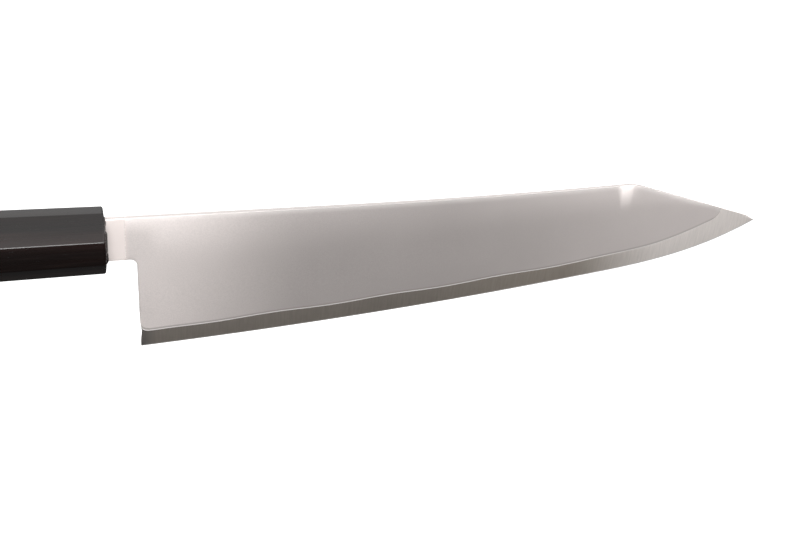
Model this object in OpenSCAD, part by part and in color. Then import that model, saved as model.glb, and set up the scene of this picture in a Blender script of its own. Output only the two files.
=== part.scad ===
// Kiritsuke kitchen knife: a three-layer blade with a clipped point on an octagonal wooden handle.
// Millimetres. +X runs from the butt of the handle to the tip, +Z from the edge to the spine.
// The origin is the centre of the handle's butt face, on the handle's axis.

/* [Blade] */
// Length of the blade from the heel to the tip
blade_len = 240; // [220:1:260]
// Height of the blade at the heel, from edge to spine
blade_h = 50.4; // [47:0.1:54]
// Thickness of the spine at the neck and the heel
spine_t = 2.1; // [1.8:0.1:3]
// Thickness of the spine where the point is clipped
shoulder_t = 1.4; // [1.2:0.1:1.8]
// Length of the clipped point, measured along the handle's axis
clip_len = 57; // [45:1:65]
// Angle of the clipped line below the handle's axis
clip_angle = 17.2; // [14:0.1:20]
// Roundness of the corner between the spine and the clipped line
clip_soft = 1.2; // [0.4:0.1:3]
// Height of the tip above the heel's corner
tip_h = 34.4; // [30:0.1:37]
// Straight length of the spine before it starts to rise
spine_flat = 65; // [40:1:90]
// Radius of the spine's slow rise
spine_r = 2800; // [2000:50:6000]
// Rise of the edge line for each millimetre of length at the heel
edge_slope = 0.049; // [0.03:0.001:0.06]
// Radius of the edge's long curve
edge_r = 2120; // [1800:20:4000]
// Length of the stronger curve of the edge before the tip
belly_len = 69; // [50:1:90]

/* [Lamination] */
// Thickness of the hard core layer
core_t = 0.7; // [0.5:0.05:0.9]
// Width of bare core above the edge near the heel
band_heel = 5.5; // [4:0.1:8]
// Width of bare core above the edge along the blade
band_mid = 6.6; // [5:0.1:9]
// Height of the waves in the lamination line
wave_h = 0.25; // [0:0.05:0.5]
// Length of one wave in the lamination line
wave_len = 43; // [30:1:60]
// Length of the point that is all core, with no cladding
bare_len = 16.5; // [12:0.5:22]
// Step down from the cladding to the core at the lamination line
lip = 0.03; // [0.02:0.01:0.06]

/* [Neck and tang] */
// Free length of the neck between the handle and the heel
neck_len = 10.8; // [9:0.1:16]
// Height of the neck
neck_h = 15.5; // [13:0.1:17]
// Radius in the corner between the neck and the heel
choil_r = 2.6; // [1.5:0.1:4]
// Length of the tang inside the handle
tang_len = 96; // [80:1:105]
// Height of the tang just inside the handle
tang_root_h = 11.2; // [9:0.1:11.6]
// Height of the tang at its end
tang_end_h = 6.4; // [4:0.1:8]

/* [Handle] */
// Length of the handle
handle_len = 145; // [135:1:155]
// Height of the handle at the front
front_h = 22.4; // [21:0.1:25]
// Width of the handle at the front
front_w = 19.8; // [18.5:0.1:22]
// Height of the handle at the butt
butt_h = 25.4; // [23:0.1:28]
// Width of the handle at the butt
butt_w = 22.2; // [20:0.1:25]
// Part of the width and height that each corner facet takes at the front
facet = 7.05; // [5:0.05:7.5]
// Radius on the edges of both end faces
end_r = 0.8; // [0.4:0.1:1.5]

/* [Fitting] */
// Diameter of the bore and of the dowel in it
bore_d = 13; // [12.4:0.1:14]
// Length of the dowel
dowel_len = 100; // [95:1:108]
// Depth of the tang slot cut in the handle's front face
mouth_depth = 8; // [6:0.5:10]
// Gap between the tang and the wood round it
tang_gap = 0.5; // [0.3:0.05:0.7]

/* [Hidden] */

$fn = 48;

// Working coordinates of the blade: x from the heel, z from the heel's corner.
heel_x0 = handle_len + neck_len;
axis_z = blade_h - 8;
face_x = -neck_len;
tang_end_x = face_x - tang_len;
neck_bottom = blade_h - neck_h;
heel_lean = 0.5;
belly_x = blade_len - belly_len;
belly_rise = tip_h - edge_slope * blade_len - blade_len * blade_len / (2 * edge_r);
shoulder_x = blade_len - clip_len;
meet_x = blade_len - bare_len;
tip_blunt = 1;
tip_round = 1.5;
edge_t = 0.04;
station_gap = 4.5;
top_lead = 10;
neck_blend = 3.5;
root_blend = 6;

function lerp(a, b, t) = a + (b - a) * t;
function mix(p, q, t) = p + (q - p) * t;
function unit(t) = min(1, max(0, t));
function ease(t) = unit(t) * unit(t) * (3 - 2 * unit(t));
function soft_min(a, b, k) = min(a, b) - pow(max(k - abs(a - b), 0), 2) / (4 * k);

// Edge: a slow arc with a stronger curve before the tip.
function edge_z(x) =
    edge_slope * x + x * x / (2 * edge_r) + belly_rise * pow(max(0, (x - belly_x) / belly_len), 3);

// Spine: straight, then a slow rise to the shoulder, then the clipped line down to the tip.
function spine_z(x) = blade_h + pow(max(0, x - spine_flat), 2) / (2 * spine_r);
function clip_z(x) =
    tip_h + tip_blunt + (blade_len - x) * tan(clip_angle)
    - tip_blunt * pow(max(0, 1 - (blade_len - x) / tip_round), 2);
function top_z(x) = soft_min(spine_z(x), clip_z(x), clip_soft);

// Lamination line: the band of bare core follows the edge, waves a little and widens to the tip.
function band(x) =
    lerp(band_mid, band_heel, exp(-x / 20))
    + wave_h * cos(360 * (x - 47) / wave_len)
    + 3.3 * pow(max(0, (x - meet_x + 58) / 58), 2)
    + 2.2 * exp(-x / 0.9);
function lam_z(x) = edge_z(x) + band(max(0, x));
hook_x = meet_x - 6;
hook_slope = lam_z(hook_x) - lam_z(hook_x - 1);
function hook(t) =
    let (a = [hook_x, lam_z(hook_x)])
    let (b = [meet_x, lam_z(hook_x) + 6 * hook_slope])
    let (c = [meet_x, top_z(meet_x) - 0.25])
    mix(mix(a, b, t), mix(b, c, t), t);

// Heel: nearly upright, with a slight hollow where the core is bared.
function heel_x(z) = -heel_lean * z / neck_bottom + 0.45 * exp(-pow((z - 6) / 2.4, 2));

// Tang: the neck's height at the handle's face, then a slow taper inside.
function tang_half(x) =
    lerp(tang_root_h, tang_end_h, unit((face_x - x) / tang_len)) / 2;
function neck_part(x) = ease((face_x - x) / root_blend);
function tang_top(x) = axis_z + lerp(blade_h - axis_z, tang_half(x), neck_part(x));
function tang_bottom(x) = axis_z - lerp(axis_z - neck_bottom, tang_half(x), neck_part(x));

// Thickness along the spine, and the ground faces below it.
function top_t(x) =
    x < shoulder_x ? lerp(spine_t, shoulder_t, unit(x / shoulder_x))
    : lerp(shoulder_t, core_t + 2 * lip, unit((x - shoulder_x) / (meet_x - shoulder_x)));
function ground_half(p) =
    let (low = lam_z(max(0, p.x)))
    let (w = unit((p.y - low) / max(1, top_z(max(0, p.x)) - low)))
    core_t / 2 + lip + (top_t(max(0, p.x)) / 2 - core_t / 2 - lip) * (1 - pow(1 - w, 1.15));
function outer_half(p) = lerp(ground_half(p), spine_t / 2, ease((-1.5 - p.x) / neck_blend));
function bevel_half(p) =
    let (high = p.x < meet_x ? min(lam_z(p.x), top_z(p.x)) : top_z(p.x))
    let (u = unit((p.y - edge_z(p.x)) / max(0.2, high - edge_z(p.x))))
    let (thin = lerp(1, 0.5, unit((p.x - meet_x) / bare_len)))
    lerp(edge_t / 2, core_t / 2, thin * (1 - pow(1 - u, 1.5)));
function core_half(p) = p.x < 0 ? core_t / 2 : bevel_half(p);

// Pairs of points, one on the lower outline and one on the upper, that the lofts run through.
tang_xs = concat([for (x = [tang_end_x:15:face_x - root_blend - 1]) x],
    [for (k = [4:-1:0]) face_x - root_blend * k / 4], [face_x / 2 - choil_r, -choil_r - 1.5]);
tang_pairs = [for (x = tang_xs) [[x, tang_bottom(x)], [x, tang_top(x)]]];
function fillet_point(a) =
    [heel_x(neck_bottom - choil_r) - choil_r + choil_r * cos(a), neck_bottom - choil_r + choil_r * sin(a)];
fillet_points = [for (a = [90:-15:0]) fillet_point(a)];
heel_points = [for (z = [28, 21, 15, 11, 9]) [heel_x(z), z]];
function with_top(low, from, to) =
    [for (i = [0:len(low) - 1]) let (x = lerp(from, to, i / (len(low) - 1))) [low[i], [x, top_z(x)]]];
function tail(v) = [for (i = [1:len(v) - 1]) v[i]];

lam_xs = concat([0.6, 1.4, 2.6], [for (x = [station_gap:station_gap:hook_x - 1]) x]);
lam_points = concat([[heel_x(lam_z(0)), lam_z(0)]], [for (x = lam_xs) [x, lam_z(x)]],
    [for (t = [0:0.2:1]) hook(t)]);
cladding_heel = with_top(concat(fillet_points, heel_points), -choil_r, top_lead);
cladding_pairs = concat(tang_pairs, cladding_heel, tail(with_top(concat([[0, 0]], lam_points), top_lead, meet_x)));

core_xs = concat([for (x = [station_gap:station_gap:blade_len - 3]) x],
    [blade_len - 1.5, blade_len - 0.8, blade_len - 0.3]);
edge_points = concat([for (x = core_xs) [x, edge_z(x)]], [[blade_len, tip_h - 0.1]]);
low_heel = [for (z = [7.5, 6, 4.5, 3, 1.5, 0]) [heel_x(z), z]];
core_heel = with_top(concat(fillet_points, heel_points, low_heel), -choil_r, top_lead);
core_pairs = concat(tang_pairs, core_heel, tail(with_top(concat([[0, 0]], edge_points), top_lead, blade_len)));

// Where a line from the lower to the upper outline leaves the bevel of the core.
function bevel_share(pair) =
    let (low = pair[0])
    let (high = pair[1])
    let (first = unit((lam_z(max(0, low.x)) - low.y) / (high.y - low.y)))
    let (x = max(0, lerp(low.x, high.x, first)))
    min(0.85, max(0.12, x > meet_x - 2 ? 1 : (lam_z(x) - low.y) / (high.y - low.y)));

// A closed shell between two grids of points, columns along the blade and rows across it.
module shell(front, back) {
    cols = len(front);
    rows = len(front[0]);
    size = cols * rows;
    points = concat([for (c = front) each c], [for (c = back) each c]);
    function id(i, j, side) = side * size + i * rows + j;
    function quad(a, b, c, d) = [[a, b, c], [a, c, d]];
    faces = concat(
        [for (i = [0:cols - 2], j = [0:rows - 2])
            each quad(id(i, j, 0), id(i, j + 1, 0), id(i + 1, j + 1, 0), id(i + 1, j, 0))],
        [for (i = [0:cols - 2], j = [0:rows - 2])
            each quad(id(i, j, 1), id(i + 1, j, 1), id(i + 1, j + 1, 1), id(i, j + 1, 1))],
        [for (i = [0:cols - 2])
            each quad(id(i, 0, 0), id(i + 1, 0, 0), id(i + 1, 0, 1), id(i, 0, 1))],
        [for (i = [0:cols - 2])
            each quad(id(i, rows - 1, 0), id(i, rows - 1, 1), id(i + 1, rows - 1, 1), id(i + 1, rows - 1, 0))],
        [for (j = [0:rows - 2])
            each quad(id(0, j, 0), id(0, j, 1), id(0, j + 1, 1), id(0, j + 1, 0))],
        [for (j = [0:rows - 2])
            each quad(id(cols - 1, j, 0), id(cols - 1, j + 1, 0), id(cols - 1, j + 1, 1), id(cols - 1, j, 1))]);
    polyhedron(points, faces);
}

module on_axis() {
    translate([heel_x0, 0, -axis_z]) children();
}

module core_steel() {
    rows = [0, 0.12, 0.4, 0.7, 1];
    function column(pair) =
        let (share = bevel_share(pair))
        concat([for (r = rows) mix(pair[0], pair[1], share * r)], [pair[1]]);
    grid = [for (pair = core_pairs) column(pair)];
    color([0.45, 0.43, 0.4])
        on_axis()
            shell([for (c = grid) [for (p = c) [p.x, -core_half(p), p.y]]],
                [for (c = grid) [for (p = c) [p.x, core_half(p), p.y]]]);
}

// One cladding layer on the +Y side of the core.
module cladding() {
    rows = [0, 0.08, 0.3, 0.6, 1];
    grid = [for (pair = cladding_pairs) [for (r = rows) mix(pair[0], pair[1], r)]];
    on_axis()
        shell([for (c = grid) [for (p = c) [p.x, core_t / 2, p.y]]],
            [for (c = grid) [for (p = c) [p.x, outer_half(p), p.y]]]);
}

module cladding_right() {
    color([0.74, 0.7, 0.68]) mirror([0, 1, 0]) cladding();
}

module cladding_left() {
    color([0.74, 0.7, 0.68]) cladding();
}

// Side outline of a tapered bar with rounded corners at both ends, for extruding across it.
module taper_outline(butt, front) {
    function corner(x, y, turn) =
        [for (a = [0:22.5:90]) [x + end_r * cos(a + turn), y + end_r * sin(a + turn)]];
    front_y = front / 2 - end_r;
    butt_y = butt / 2 - end_r;
    top = concat(corner(handle_len - end_r, front_y, 0), corner(end_r, butt_y, 90));
    polygon(concat(top, [for (i = [len(top) - 1:-1:0]) [top[i].x, -top[i].y]]));
}

// The octagon: four tapered bars, one for each pair of opposite facets, cut by one another.
function across(h, w, f) = (h + w - 2 * f) / sqrt(2);
module octagon_bar() {
    butt_facet = facet * butt_h / front_h;
    reach = 2 * butt_h;
    intersection() {
        rotate([90, 0, 0]) translate([0, 0, -reach / 2]) linear_extrude(reach) taper_outline(butt_h, front_h);
        translate([0, 0, -reach / 2]) linear_extrude(reach) taper_outline(butt_w, front_w);
        for_corner(45, butt_facet, reach);
        for_corner(-45, butt_facet, reach);
    }
}
module for_corner(turn, butt_facet, reach) {
    rotate([turn, 0, 0]) translate([0, 0, -reach / 2]) linear_extrude(reach)
        taper_outline(across(butt_h, butt_w, butt_facet), across(front_h, front_w, facet));
}

// The tang's own outline, as thick as the three layers together.
module tang_blank(grow) {
    low = [for (p = tang_pairs) p[0]];
    high = [for (i = [len(tang_pairs) - 1:-1:0]) tang_pairs[i][1]];
    on_axis()
        rotate([90, 0, 0]) translate([0, 0, -spine_t / 2 - grow]) linear_extrude(spine_t + 2 * grow)
            polygon(concat(low, high));
}

// The slot in the handle's front face that the tang goes in through.
slot_w = spine_t + 2 * tang_gap;
slot_top = blade_h - axis_z + tang_gap;
slot_bottom = neck_bottom - axis_z - tang_gap;
module mouth_slot(depth, out) {
    translate([handle_len - depth, 0, 0]) rotate([0, 90, 0]) linear_extrude(depth + out) union() {
        translate([-slot_top + slot_w / 2, -slot_w / 2]) square([slot_top - slot_bottom - slot_w, slot_w]);
        translate([-slot_top + slot_w / 2, 0]) circle(d = slot_w);
        translate([-slot_bottom - slot_w / 2, 0]) circle(d = slot_w);
    }
}

bore_end = handle_len - mouth_depth - dowel_len;
module bore(from, to) {
    translate([from, 0, 0]) rotate([0, 90, 0]) cylinder(d = bore_d, h = to - from, $fn = 64);
}

module handle() {
    color([0.2, 0.14, 0.13])
        difference() {
            octagon_bar();
            bore(bore_end, handle_len - mouth_depth);
            mouth_slot(mouth_depth + 1, 1);
        }
}

// The dowel is slit lengthwise for the tang, like a clothes peg, and stays whole at its far end.
slit_x = handle_len - tang_len - 1;
module slit() {
    translate([slit_x, -slot_w / 2, -bore_d]) cube([tang_len + 2 - mouth_depth, slot_w, 2 * bore_d]);
}

module tang_dowel() {
    color([0.8, 0.68, 0.48])
        difference() {
            bore(bore_end, handle_len - mouth_depth);
            slit();
        }
}

module tang_bedding() {
    color([0.35, 0.3, 0.22])
        difference() {
            intersection() {
                bore(bore_end, handle_len - mouth_depth);
                slit();
            }
            tang_blank(0);
        }
}

// Resin that fills the mouth and stands a little proud of it in uneven beads.
module bead(y, low, high, r) {
    translate([handle_len - r / 2, y, 0]) {
        translate([0, 0, low]) sphere(r);
        translate([0, 0, high]) sphere(r);
        translate([0, 0, low]) cylinder(r = r, h = high - low);
    }
}

module mouth_seal() {
    color([0.08, 0.06, 0.06])
        difference() {
            union() {
                mouth_slot(mouth_depth, 0.4);
                intersection() {
                    union() {
                        bead(-1.1, -3.4, 2.6, 1.9);
                        bead(-0.6, -6.9, -5.2, 2.2);
                        bead(-0.7, 6.4, 7.2, 1.4);
                        bead(0.9, -4.5, 4, 1.7);
                    }
                    translate([handle_len, -butt_w, -butt_h]) cube(2 * butt_h);
                }
            }
            tang_blank(0);
        }
}

core_steel();
cladding_right();
cladding_left();
handle();
tang_dowel();
tang_bedding();
mouth_seal();
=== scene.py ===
import math
import bpy
import bmesh
from mathutils import Matrix, Vector


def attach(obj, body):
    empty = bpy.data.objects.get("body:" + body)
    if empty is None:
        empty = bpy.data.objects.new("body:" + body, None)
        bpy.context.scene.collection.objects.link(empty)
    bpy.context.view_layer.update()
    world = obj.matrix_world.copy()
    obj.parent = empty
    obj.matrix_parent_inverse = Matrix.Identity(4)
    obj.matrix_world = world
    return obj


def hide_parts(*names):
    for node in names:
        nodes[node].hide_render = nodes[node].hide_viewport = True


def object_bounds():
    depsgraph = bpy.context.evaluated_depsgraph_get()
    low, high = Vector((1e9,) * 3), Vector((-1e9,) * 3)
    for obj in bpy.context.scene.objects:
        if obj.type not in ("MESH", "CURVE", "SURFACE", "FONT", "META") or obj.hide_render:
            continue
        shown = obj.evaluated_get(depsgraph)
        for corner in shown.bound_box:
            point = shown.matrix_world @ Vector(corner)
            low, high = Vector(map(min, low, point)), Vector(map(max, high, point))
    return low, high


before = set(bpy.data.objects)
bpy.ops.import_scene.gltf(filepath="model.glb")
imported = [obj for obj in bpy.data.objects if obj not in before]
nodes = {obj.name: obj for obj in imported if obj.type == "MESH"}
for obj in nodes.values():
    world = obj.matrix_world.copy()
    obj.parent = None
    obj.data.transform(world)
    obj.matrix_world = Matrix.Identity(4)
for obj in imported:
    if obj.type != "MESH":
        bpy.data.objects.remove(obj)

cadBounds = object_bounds()
mm = 0.001

# the blade's own measures, in mm and degrees, from the heel's corner
blade = dict(heelX=155.8, heelZ=-42.4, length=240.0, height=50.4, tipHeight=34.4, neckStart=-11,
             edgeSlope=0.049, edgeRadius=2120.0, bellyLength=69.0, bareLength=16.5, clipLength=57.0,
             spineFlat=65, spineRadius=2800, clipAngle=17.2, clipRise=1,
             bandHeel=5.5, bandMid=6.6, bandFade=20, waveHeight=0.25, waveLength=43.0, waveCrest=47,
             flareLength=58, flareHeight=3.3, hookLength=0.9, hookHeight=2.2)


def edgeHeight(x):
    length = blade["length"]
    belly = blade["tipHeight"] - blade["edgeSlope"] * length - length ** 2 / (2 * blade["edgeRadius"])
    start = length - blade["bellyLength"]
    slow = blade["edgeSlope"] * x + x * x / (2 * blade["edgeRadius"])
    return slow + belly * max(0.0, (x - start) / blade["bellyLength"]) ** 3


def lineHeight(x):  # where the cladding ends
    x = max(0.0, x)
    band = blade["bandMid"] + (blade["bandHeel"] - blade["bandMid"]) * math.exp(-x / blade["bandFade"])
    turn = 360 * (x - blade["waveCrest"]) / blade["waveLength"]
    band += blade["waveHeight"] * math.cos(math.radians(turn))
    flareFrom = blade["length"] - blade["bareLength"] - blade["flareLength"]
    band += blade["flareHeight"] * max(0.0, (x - flareFrom) / blade["flareLength"]) ** 2
    return edgeHeight(x) + band + blade["hookHeight"] * math.exp(-x / blade["hookLength"])


def spineHeight(x):
    rise = blade["height"] + max(0.0, x - blade["spineFlat"]) ** 2 / (2 * blade["spineRadius"])
    slope = math.tan(math.radians(blade["clipAngle"]))
    clip = blade["tipHeight"] + blade["clipRise"] + (blade["length"] - x) * slope
    return min(rise, clip)


def deselectAll():
    if bpy.context.mode != "OBJECT":
        bpy.ops.object.mode_set(mode="OBJECT")
    bpy.ops.object.select_all(action="DESELECT")


def makeActive(piece):
    deselectAll()
    piece.select_set(True)
    bpy.context.view_layer.objects.active = piece


def copyOfNode(node, name):  # a merged copy, so that it can be shaded smooth and have its edges eased
    piece = bpy.data.objects.new(name, nodes[node].data.copy())
    bpy.context.collection.objects.link(piece)
    makeActive(piece)
    bpy.ops.object.mode_set(mode="EDIT")
    bpy.ops.mesh.select_all(action="SELECT")
    bpy.ops.mesh.remove_doubles(threshold=0.000002)
    bpy.ops.object.mode_set(mode="OBJECT")
    return piece


def bevelEdges(piece, wanted, width, segments=3):
    makeActive(piece)
    bpy.ops.object.mode_set(mode="EDIT")
    bpy.ops.mesh.select_mode(type="EDGE")
    bpy.ops.mesh.select_all(action="DESELECT")
    shape = bmesh.from_edit_mesh(piece.data)
    count = 0
    for edge in shape.edges:
        if len(edge.link_faces) == 2 and wanted(edge):
            edge.select_set(True)
            count += 1
    bmesh.update_edit_mesh(piece.data)
    if count:
        bpy.ops.mesh.bevel(offset=width, offset_type="OFFSET", segments=segments,
                           profile=0.5, clamp_overlap=True)
    bpy.ops.object.mode_set(mode="OBJECT")
    return count


def smooth(piece, degrees):
    makeActive(piece)
    bpy.ops.object.shade_smooth_by_angle(angle=math.radians(degrees))


def finish(piece, node, material):
    piece.data.materials.clear()
    piece.data.materials.append(material)
    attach(piece, "root")
    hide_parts(node)


# camera, fitted to the photograph
view = dict(place=(0.12888, -0.34616, 0.17689), azimuth=19.143, elevation=28.0015, roll=-5.1868, lens=51.13)


def makeCamera():
    az, el, roll = (math.radians(view[k]) for k in ("azimuth", "elevation", "roll"))
    ahead = Vector((math.sin(az) * math.cos(el), math.cos(az) * math.cos(el), -math.sin(el)))
    right = Vector((math.cos(az), -math.sin(az), 0))
    up = right.cross(ahead)
    turnedRight = right * math.cos(roll) - up * math.sin(roll)
    turnedUp = right * math.sin(roll) + up * math.cos(roll)
    data = bpy.data.cameras.new("camera")
    data.lens = view["lens"]
    data.sensor_width = 36
    data.clip_start = 0.01
    camera = bpy.data.objects.new("camera", data)
    bpy.context.collection.objects.link(camera)
    turn = Matrix((turnedRight, turnedUp, -ahead)).transposed()
    camera.matrix_world = Matrix.Translation(view["place"]) @ turn.to_4x4()
    bpy.context.scene.camera = camera


makeCamera()
print("camera placed")

# lights and the pale floor
studio = dict(floorDrop=0.16, floorSize=6, floorGlow=0.82, skyFrom=-0.15, skyTo=0.55,
              skyLow=0.08, skyHigh=1.6, frontWatts=1.2, heelWatts=0.9, tipWatts=1.2)


def areaLight(name, place, target, size, watts):
    data = bpy.data.lights.new(name, "AREA")
    data.shape = "RECTANGLE"
    data.size, data.size_y = size
    data.energy = watts
    lamp = bpy.data.objects.new(name, data)
    lamp.location = place
    lamp.rotation_euler = (Vector(target) - Vector(place)).to_track_quat("-Z", "Y").to_euler()
    bpy.context.collection.objects.link(lamp)


def makeStudio():
    low = cadBounds[0][2] - studio["floorDrop"]
    deselectAll()
    bpy.ops.mesh.primitive_plane_add(size=studio["floorSize"], location=(0.2, 0, low))
    floor = bpy.context.active_object
    floor.name = "floor"
    material = bpy.data.materials.new("paleFloor")
    material.use_nodes = True
    shader = material.node_tree.nodes["Principled BSDF"]
    shader.inputs["Base Color"].default_value = (0.5, 0.5, 0.5, 1)
    shader.inputs["Roughness"].default_value = 0.9
    shader.inputs["Emission Color"].default_value = (1, 1, 1, 1)
    shader.inputs["Emission Strength"].default_value = studio["floorGlow"]
    floor.data.materials.append(material)
    floor.visible_glossy = False
    floor.visible_diffuse = False
    world = bpy.data.worlds.new("studio")
    bpy.context.scene.world = world
    world.use_nodes = True
    tree = world.node_tree
    tree.nodes.clear()
    out = tree.nodes.new("ShaderNodeOutputWorld")
    coords = tree.nodes.new("ShaderNodeTexCoord")
    split = tree.nodes.new("ShaderNodeSeparateXYZ")
    climb = tree.nodes.new("ShaderNodeMapRange")
    climb.inputs["From Min"].default_value = studio["skyFrom"]
    climb.inputs["From Max"].default_value = studio["skyTo"]
    climb.inputs["To Min"].default_value = studio["skyLow"]
    climb.inputs["To Max"].default_value = studio["skyHigh"]
    sky = tree.nodes.new("ShaderNodeBackground")
    plain = tree.nodes.new("ShaderNodeBackground")
    plain.inputs["Color"].default_value = (1, 1, 1, 1)
    path = tree.nodes.new("ShaderNodeLightPath")
    blend = tree.nodes.new("ShaderNodeMixShader")
    tree.links.new(coords.outputs["Generated"], split.inputs[0])
    tree.links.new(split.outputs["Z"], climb.inputs["Value"])
    tree.links.new(climb.outputs["Result"], sky.inputs["Strength"])
    tree.links.new(path.outputs["Is Camera Ray"], blend.inputs[0])
    tree.links.new(sky.outputs[0], blend.inputs[1])
    tree.links.new(plain.outputs[0], blend.inputs[2])
    tree.links.new(blend.outputs[0], out.inputs["Surface"])
    areaLight("frontSoftbox", (0.1, -0.75, 0.65), (0.25, 0, 0), (0.7, 0.4), studio["frontWatts"])
    areaLight("heelSoftbox", (0.12, -0.30, 0.10), (0.17, 0, 0), (0.16, 0.12), studio["heelWatts"])
    areaLight("tipSoftbox", (0.60, -0.34, 0.14), (0.38, 0, 0), (0.22, 0.16), studio["tipWatts"])
    bpy.context.scene.view_settings.view_transform = "Standard"


makeStudio()
print("studio lit")


# shader helpers
class Tree:
    def __init__(self, tree):
        self.tree = tree

    def add(self, kind, **settings):
        node = self.tree.nodes.new(kind)
        for key, value in settings.items():
            setattr(node, key, value)
        return node

    def link(self, a, b):
        self.tree.links.new(a, b)

    def math(self, operation, a, b=None, clamp=False):
        node = self.add("ShaderNodeMath", operation=operation, use_clamp=clamp)
        for index, value in enumerate((a, b)):
            if value is None:
                continue
            if isinstance(value, (int, float)):
                node.inputs[index].default_value = value
            else:
                self.link(value, node.inputs[index])
        return node.outputs[0]

    def ramp(self, value, low, high, toLow=0.0, toHigh=1.0):  # smooth step between two values
        node = self.add("ShaderNodeMapRange", interpolation_type="SMOOTHSTEP")
        self.link(value, node.inputs["Value"])
        for key, number in (("From Min", low), ("From Max", high), ("To Min", toLow), ("To Max", toHigh)):
            node.inputs[key].default_value = number
        return node.outputs["Result"]

    def mix(self, factor, a, b, blend="MIX"):
        node = self.add("ShaderNodeMix", data_type="RGBA", blend_type=blend)
        if isinstance(factor, (int, float)):
            node.inputs[0].default_value = factor
        else:
            self.link(factor, node.inputs[0])
        for index, value in ((6, a), (7, b)):
            if isinstance(value, tuple):
                node.inputs[index].default_value = value
            else:
                self.link(value, node.inputs[index])
        return node.outputs[2]

    def noise(self, coords, scale, detail=3.0, rough=0.5):
        node = self.add("ShaderNodeTexNoise")
        node.inputs["Scale"].default_value = scale
        node.inputs["Detail"].default_value = detail
        node.inputs["Roughness"].default_value = rough
        self.link(coords, node.inputs["Vector"])
        return node.outputs["Fac"]

    def coords(self, scale=(1, 1, 1)):
        place = self.add("ShaderNodeTexCoord")
        mapping = self.add("ShaderNodeMapping")
        mapping.inputs["Scale"].default_value = scale
        self.link(place.outputs["Object"], mapping.inputs["Vector"])
        return mapping.outputs["Vector"]

    def attribute(self, name):
        return self.add("ShaderNodeAttribute", attribute_name=name).outputs["Fac"]

    def alongX(self):  # distance from the heel, in mm
        place = self.add("ShaderNodeTexCoord")
        split = self.add("ShaderNodeSeparateXYZ")
        self.link(place.outputs["Object"], split.inputs[0])
        return self.math("SUBTRACT", self.math("MULTIPLY", split.outputs["X"], 1000.0), blade["heelX"])

    def shaded(self, colour, factor):  # the colour times one factor
        grey = self.add("ShaderNodeCombineColor")
        for index in range(3):
            self.link(factor, grey.inputs[index])
        return self.mix(1.0, colour, grey.outputs[0], blend="MULTIPLY")

    def bump(self, height, strength, distance, shader):
        node = self.add("ShaderNodeBump")
        node.inputs["Strength"].default_value = strength
        node.inputs["Distance"].default_value = distance
        self.link(height, node.inputs["Height"])
        self.link(node.outputs["Normal"], shader.inputs["Normal"])


def newMaterial(name):
    material = bpy.data.materials.new(name)
    material.use_nodes = True
    return Tree(material.node_tree), material.node_tree.nodes["Principled BSDF"], material


def steelGrainGroup():  # fine blasted grain and faint clouding, shared by the steels
    group = bpy.data.node_groups.new("steelGrain", "ShaderNodeTree")
    for name, value in (("Grain Scale", 2600.0), ("Cloud Scale", 45.0)):
        socket = group.interface.new_socket(name, in_out="INPUT", socket_type="NodeSocketFloat")
        socket.default_value = value
    for name in ("Grain", "Cloud"):
        group.interface.new_socket(name, in_out="OUTPUT", socket_type="NodeSocketFloat")
    t = Tree(group)
    start = t.add("NodeGroupInput")
    end = t.add("NodeGroupOutput")
    place = t.add("ShaderNodeTexCoord")
    for output, scale, detail in (("Grain", "Grain Scale", 2.0), ("Cloud", "Cloud Scale", 4.0)):
        noise = t.add("ShaderNodeTexNoise")
        noise.inputs["Detail"].default_value = detail
        t.link(place.outputs["Object"], noise.inputs["Vector"])
        t.link(start.outputs[scale], noise.inputs["Scale"])
        t.link(noise.outputs["Fac"], end.inputs[output])
    return group


steelGrain = steelGrainGroup()
claddingLook = dict(face=(0.70, 0.645, 0.625, 1), bright=(0.93, 0.90, 0.88, 1), dark=(0.30, 0.27, 0.25, 1),
                    neck=(0.84, 0.76, 0.73, 1), neckX=(-4.8, -2.6),
                    # painted shade along the blade: the factors at the heel, the middle and the tip
                    paintedShadeHeel=1.0, paintedShadeMiddle=0.55, paintedLightTip=0.25)


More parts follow.
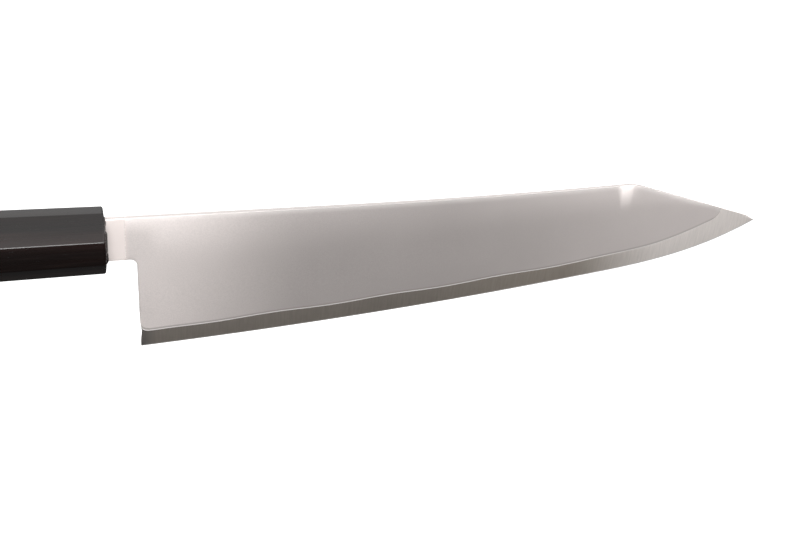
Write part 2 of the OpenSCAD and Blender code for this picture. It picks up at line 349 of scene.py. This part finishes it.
def claddingMaterial():
    t, shader, material = newMaterial("blastedSteel")
    grain = t.add("ShaderNodeGroup", node_tree=steelGrain)
    grain.inputs["Grain Scale"].default_value = 2600
    grain.inputs["Cloud Scale"].default_value = 40
    x = t.alongX()
    above = t.attribute("aboveLine")
    under = t.attribute("underSpine")
    coarse = t.ramp(x, 60, 150, 1.0, 0.35)  # the grain is coarse to the middle of the blade
    speck = t.math("MULTIPLY", t.math("SUBTRACT", grain.outputs["Grain"], 0.5), coarse)
    cloud = t.math("SUBTRACT", grain.outputs["Cloud"], 0.5)
    shade = t.math("ADD", t.math("MULTIPLY", speck, 0.5), t.math("MULTIPLY", cloud, 0.14))
    tone = t.math("ADD", 0.5, shade, clamp=True)
    darker = tuple(c * 0.72 for c in claddingLook["face"][:3]) + (1,)
    lighter = tuple(min(1, c * 1.28) for c in claddingLook["face"][:3]) + (1,)
    colour = t.mix(tone, darker, lighter)
    # painted shade and painted reflection: the colour is darkest at the middle of the blade and lighter
    # again towards the tip
    along = t.ramp(x, -2, 62, claddingLook["paintedShadeHeel"], claddingLook["paintedShadeMiddle"])
    along = t.math("ADD", along, t.ramp(x, 105, 215, 0.0, claddingLook["paintedLightTip"]))
    colour = t.shaded(colour, along)
    darkLine = t.math("MULTIPLY", t.ramp(above, 0.25, 0.5), t.ramp(above, 0.7, 1.25, 1.0, 0.0))
    brightLine = t.ramp(above, 0.2, 0.42, 1.0, 0.0)
    # painted highlight: the colour is lightened just under the spine, fading out over about 2 mm
    paintedSpineHighlight = t.ramp(under, 0.2, 2.2, 0.22, 0.0)
    colour = t.mix(t.math("MULTIPLY", darkLine, 0.6), colour, claddingLook["dark"])
    colour = t.mix(t.math("MULTIPLY", brightLine, 0.7), colour, claddingLook["bright"])
    colour = t.mix(paintedSpineHighlight, colour, claddingLook["bright"])
    neck = t.ramp(x, *claddingLook["neckX"], 1.0, 0.0)
    colour = t.mix(neck, colour, claddingLook["neck"])
    t.link(colour, shader.inputs["Base Color"])
    rough = t.math("ADD", 0.50, t.math("MULTIPLY", shade, 0.35))
    rough = t.math("SUBTRACT", rough, t.math("MULTIPLY", neck, 0.28))
    t.link(rough, shader.inputs["Roughness"])
    t.link(t.ramp(x, *claddingLook["neckX"], 0.35, 0.62), shader.inputs["Metallic"])
    blasted = t.math("MULTIPLY", grain.outputs["Grain"], t.ramp(x, *claddingLook["neckX"], 0.03, 1.0))
    t.bump(t.math("MULTIPLY", blasted, coarse), 0.35, 0.00006, shader)
    return material


coreLook = dict(dark=(0.24, 0.215, 0.19, 1), middle=(0.34, 0.30, 0.26, 1), light=(0.92, 0.86, 0.82, 1),
                back=(0.66, 0.61, 0.59, 1), corner=(0.07, 0.075, 0.085, 1), edge=(0.88, 0.86, 0.84, 1))


def coreMaterial():
    t, shader, material = newMaterial("hardSteel")
    grain = t.add("ShaderNodeGroup", node_tree=steelGrain)
    grain.inputs["Grain Scale"].default_value = 1500
    grain.inputs["Cloud Scale"].default_value = 70
    x = t.alongX()
    rise = t.attribute("aboveEdge")
    # painted shade and painted reflection: the band is dark at the heel and light towards the tip
    colour = t.mix(t.ramp(x, 85, 160), coreLook["dark"], coreLook["middle"])
    colour = t.mix(t.ramp(x, 158, 205), colour, coreLook["light"])
    # painted shade: the first 6 mm of the band at the heel corner is darkened towards near black
    corner = t.math("MULTIPLY", t.ramp(x, 0, 6, 1.0, 0.0), 0.5)
    colour = t.mix(corner, colour, coreLook["corner"])
    # the strip along the spine, and the neck
    colour = t.mix(t.ramp(rise, 16, 18), colour, coreLook["back"])
    # fine stone scratches across the band
    scratch = t.noise(t.coords((1400, 60, 130)), 1.0, 2.0)
    colour = t.shaded(colour, t.math("ADD", 0.86, t.math("MULTIPLY", scratch, 0.28)))
    # painted highlight: a bright line along the polished micro-bevel, stronger towards the tip, standing in
    # for its reflection
    paintedEdgeHighlight = t.math("MULTIPLY", t.ramp(rise, 0.25, 0.55, 1.0, 0.0), t.ramp(x, 110, 170, 0.25, 0.95))
    colour = t.mix(paintedEdgeHighlight, colour, coreLook["edge"])
    t.link(colour, shader.inputs["Base Color"])
    rough = t.math("ADD", 0.34, t.math("MULTIPLY", grain.outputs["Cloud"], 0.12))
    t.link(rough, shader.inputs["Roughness"])
    shader.inputs["Metallic"].default_value = 0.7
    t.bump(scratch, 0.12, 0.00003, shader)
    return material


woodLook = dict(dark=(0.0022, 0.0008, 0.0006, 1), warm=(0.0085, 0.0030, 0.0022, 1),
                streak=(0.020, 0.009, 0.006, 1), pore=(0.002, 0.001, 0.001, 1))


def handleMaterial():
    t, shader, material = newMaterial("darkWood")
    fibre = t.noise(t.coords((28, 900, 900)), 1.0, 4.0, 0.6)
    figure = t.noise(t.coords((7, 160, 160)), 1.0, 3.0)
    colour = t.mix(t.ramp(figure, 0.35, 0.68), woodLook["dark"], woodLook["warm"])
    colour = t.mix(t.ramp(fibre, 0.55, 0.8, 0.0, 0.5), colour, woodLook["streak"])
    poreField = t.noise(t.coords((420, 2600, 2600)), 1.0, 1.0)
    pores = t.ramp(poreField, 0.70, 0.76)
    colour = t.mix(pores, colour, woodLook["pore"])
    t.link(colour, shader.inputs["Base Color"])
    t.link(t.math("ADD", 0.20, t.math("MULTIPLY", fibre, 0.16)), shader.inputs["Roughness"])
    shader.inputs["Specular IOR Level"].default_value = 0.5
    height = t.math("SUBTRACT", t.math("MULTIPLY", fibre, 0.25), pores)
    t.bump(height, 0.3, 0.00004, shader)
    return material


def resinMaterial():
    t, shader, material = newMaterial("blackResin")
    lumps = t.noise(t.coords(), 420, 2.0)
    colour = t.mix(lumps, (0.004, 0.003, 0.004, 1), (0.016, 0.012, 0.012, 1))
    t.link(colour, shader.inputs["Base Color"])
    t.link(t.math("ADD", 0.16, t.math("MULTIPLY", lumps, 0.14)), shader.inputs["Roughness"])
    t.bump(lumps, 0.25, 0.0001, shader)
    return material


def innerMaterial(name, dark, light, scale, rough):  # the pieces hidden in the handle
    t, shader, material = newMaterial(name)
    grain = t.noise(t.coords(scale), 1.0, 4.0)
    t.link(t.mix(grain, dark, light), shader.inputs["Base Color"])
    t.link(t.math("ADD", rough, t.math("MULTIPLY", grain, 0.15)), shader.inputs["Roughness"])
    t.bump(grain, 0.2, 0.0001, shader)
    return material


def measure(piece, name, rule):  # stores a distance in mm on every point
    field = piece.data.attributes.new(name, "FLOAT", "POINT")
    for vertex, item in zip(piece.data.vertices, field.data):
        x = vertex.co.x / mm - blade["heelX"]
        z = vertex.co.z / mm - blade["heelZ"]
        item.value = rule(x, z)


claddingShape = dict(spineEase=0.16, clipEase=0.34, heelEase=0.12)


def isSpineEdge(edge, fromX, toX):
    if any(abs(v.co.y) < 0.00042 for v in edge.verts):
        return False
    if any(not fromX <= v.co.x / mm - blade["heelX"] <= toX for v in edge.verts):
        return False
    a, b = (face.normal for face in edge.link_faces)
    side = max(abs(a.y), abs(b.y))
    return side > 0.9 and (a.z > 0.8 and abs(a.y) < 0.5 or b.z > 0.8 and abs(b.y) < 0.5)


def isHeelEdge(edge):
    if any(abs(v.co.y) < 0.0005 for v in edge.verts):
        return False
    if any(not blade["neckStart"] <= v.co.x / mm - blade["heelX"] <= 1 for v in edge.verts):
        return False
    if any(v.co.z / mm - blade["heelZ"] > 40 for v in edge.verts):
        return False
    a, b = (face.normal for face in edge.link_faces)
    return max(abs(a.y), abs(b.y)) > 0.9 and min(abs(a.y), abs(b.y)) < 0.3


def makeCladding(node, material):
    piece = copyOfNode(node, node + "Dressed")
    shoulder = blade["length"] - blade["clipLength"]
    neck = blade["neckStart"]
    n = bevelEdges(piece, lambda e: isSpineEdge(e, neck, shoulder), claddingShape["spineEase"] * mm)
    m = bevelEdges(piece, lambda e: isSpineEdge(e, shoulder, 221), claddingShape["clipEase"] * mm)
    k = bevelEdges(piece, isHeelEdge, claddingShape["heelEase"] * mm, 2)
    measure(piece, "aboveLine", lambda x, z: z - lineHeight(x) if x > -1 else 9.0)
    measure(piece, "underSpine", lambda x, z: spineHeight(x) - z)
    smooth(piece, 28)
    finish(piece, node, material)
    print(node, "dressed, edges eased:", n, m, k)


def makeCore(material):
    piece = copyOfNode("core_steel", "coreDressed")
    measure(piece, "aboveEdge", lambda x, z: z - edgeHeight(max(0.0, x)))
    smooth(piece, 30)
    finish(piece, "core_steel", material)
    print("core dressed")


# the ease in mm, and in metres the least length of an arris and its least distance from the axis
handleShape = dict(arris=0.28, minLength=0.1, minRadius=0.008)


def isArris(edge):
    outside = all(math.hypot(v.co.y, v.co.z) > handleShape["minRadius"] for v in edge.verts)
    return outside and edge.calc_length() > handleShape["minLength"]


def makeHandle(material):
    piece = copyOfNode("handle", "handleDressed")
    bpy.ops.object.mode_set(mode="EDIT")
    bpy.ops.mesh.select_all(action="SELECT")
    bpy.ops.mesh.dissolve_limited(angle_limit=math.radians(0.3))
    n = bevelEdges(piece, isArris, handleShape["arris"] * mm)
    smooth(piece, 30)
    finish(piece, "handle", material)
    print("handle dressed, arrises eased:", n)


def makeSeal(material):
    piece = copyOfNode("mouth_seal", "sealDressed")
    smooth(piece, 50)
    finish(piece, "mouth_seal", material)
    print("resin dressed")


steel = claddingMaterial()
makeCladding("cladding_right", steel)
makeCladding("cladding_left", steel)
makeCore(coreMaterial())
makeHandle(handleMaterial())
makeSeal(resinMaterial())
innerLooks = dict(
    tang_dowel=("paleWood", (0.45, 0.31, 0.17, 1), (0.66, 0.5, 0.31, 1), (40, 900, 900), 0.6),
    tang_bedding=("adhesive", (0.18, 0.14, 0.09, 1), (0.32, 0.26, 0.18, 1), (400, 400, 400), 0.45))
for node, look in innerLooks.items():
    nodes[node].data.materials.clear()
    nodes[node].data.materials.append(innerMaterial(*look))
print("inner pieces given their looks")
